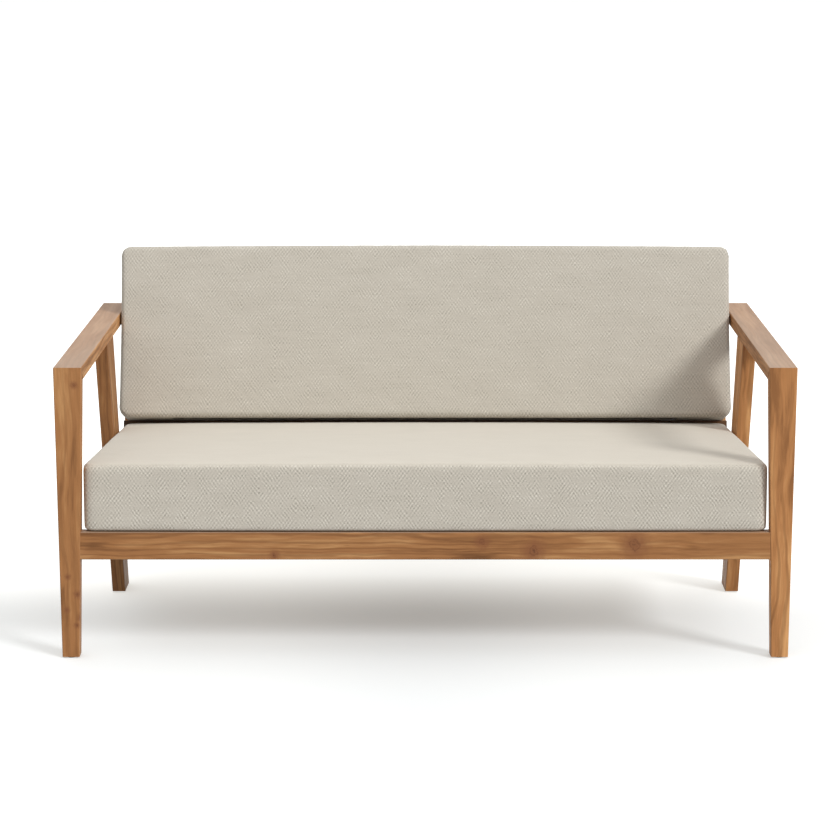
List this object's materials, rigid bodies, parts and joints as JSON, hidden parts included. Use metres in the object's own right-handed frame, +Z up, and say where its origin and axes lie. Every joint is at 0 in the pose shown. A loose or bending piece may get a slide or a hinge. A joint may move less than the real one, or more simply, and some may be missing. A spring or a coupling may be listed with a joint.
{
  "type": "patio loveseat",
  "caption": "Slim-armed wooden patio loveseat with mitred arms, raked tapering legs, a slatted reclined back, and a loose bench seat cushion and back cushion.",
  "frame": {"origin": "on the floor, under the middle of the loveseat's overall width and depth", "axes": "+X to the right seen from the front, +Y to the back, +Z up; the sitter faces -Y"},
  "size_m": [1.55, 0.826, 0.7801],
  "materials": {
    "oiled_wood": "oiled golden-brown hardwood, satin, grain along each board",
    "joinery_wood": "plain beech-like loose tenons, glued in",
    "cover_cloth": "beige-grey herringbone outdoor cloth, matte",
    "fibre_wrap": "white fibre wadding",
    "foam": "quick-dry cushion foam, square cut",
    "zip_tape": "moulded zip in the cloth's colour",
    "slider_metal": "die-cast slider, brushed",
    "stainless_steel": "stainless wood screws and coach screws",
    "glide_plastic": "black nylon glides"
  },
  "bodies": {
    "frame": {"arm_screws": "stainless_steel", "armrest_left": "oiled_wood", "armrest_right": "oiled_wood", "back_bottom_rail": "oiled_wood", "back_ledge": "oiled_wood", "back_slat_1": "oiled_wood", "back_slat_2": "oiled_wood", "back_slat_3": "oiled_wood", "back_slat_4": "oiled_wood", "back_slat_5": "oiled_wood", "back_slat_6": "oiled_wood", "back_slat_7": "oiled_wood", "back_slat_8": "oiled_wood", "back_slat_9": "oiled_wood", "back_stile_left": "oiled_wood", "back_stile_right": "oiled_wood", "back_top_rail": "oiled_wood", "cleat_screws": "stainless_steel", "corner_blocks": "oiled_wood", "foot_glides": "glide_plastic", "frame_tenons": "joinery_wood", "front_leg_left": "oiled_wood", "front_leg_right": "oiled_wood", "front_rail": "oiled_wood", "ledge_tenons": "joinery_wood", "leg_screws": "stainless_steel", "mitre_tenons": "joinery_wood", "rear_leg_left": "oiled_wood", "rear_leg_right": "oiled_wood", "rear_rail": "oiled_wood", "seat_bearer_left": "oiled_wood", "seat_bearer_right": "oiled_wood", "seat_cleat_left": "oiled_wood", "seat_cleat_right": "oiled_wood", "seat_slat_1": "oiled_wood", "seat_slat_2": "oiled_wood", "seat_slat_3": "oiled_wood", "seat_slat_4": "oiled_wood", "seat_slat_5": "oiled_wood", "seat_slat_6": "oiled_wood", "side_rail_left": "oiled_wood", "side_rail_right": "oiled_wood"},
    "seat_cushion": {"seat_cushion_cover": "cover_cloth", "seat_cushion_foam": "foam", "seat_cushion_wrap": "fibre_wrap", "seat_cushion_zip": "zip_tape"},
    "back_cushion": {"back_cushion_cover": "cover_cloth", "back_cushion_foam": "foam", "back_cushion_wrap": "fibre_wrap", "back_cushion_zip": "zip_tape"},
    "seat_zip_slider": {"seat_cushion_zip_slider": "slider_metal"},
    "back_zip_slider": {"back_cushion_zip_slider": "slider_metal"}
  },
  "joints": [
    {"name": "seat_cushion_pull_out", "type": "slide", "parent": "frame", "child": "seat_cushion", "axis": [0, -0.9973, 0.0732], "range_m": [0, 0.66]},
    {"name": "back_cushion_lift", "type": "slide", "parent": "frame", "child": "back_cushion", "axis": [0, 0.3256, 0.9455], "range_m": [0, 0.45]},
    {"name": "seat_zip_slide", "type": "slide", "parent": "seat_cushion", "child": "seat_zip_slider", "axis": [-1, 0, 0], "range_m": [0, 1.158]},
    {"name": "back_zip_slide", "type": "slide", "parent": "back_cushion", "child": "back_zip_slider", "axis": [-1, 0, 0], "range_m": [0, 1.158]}
  ]
}
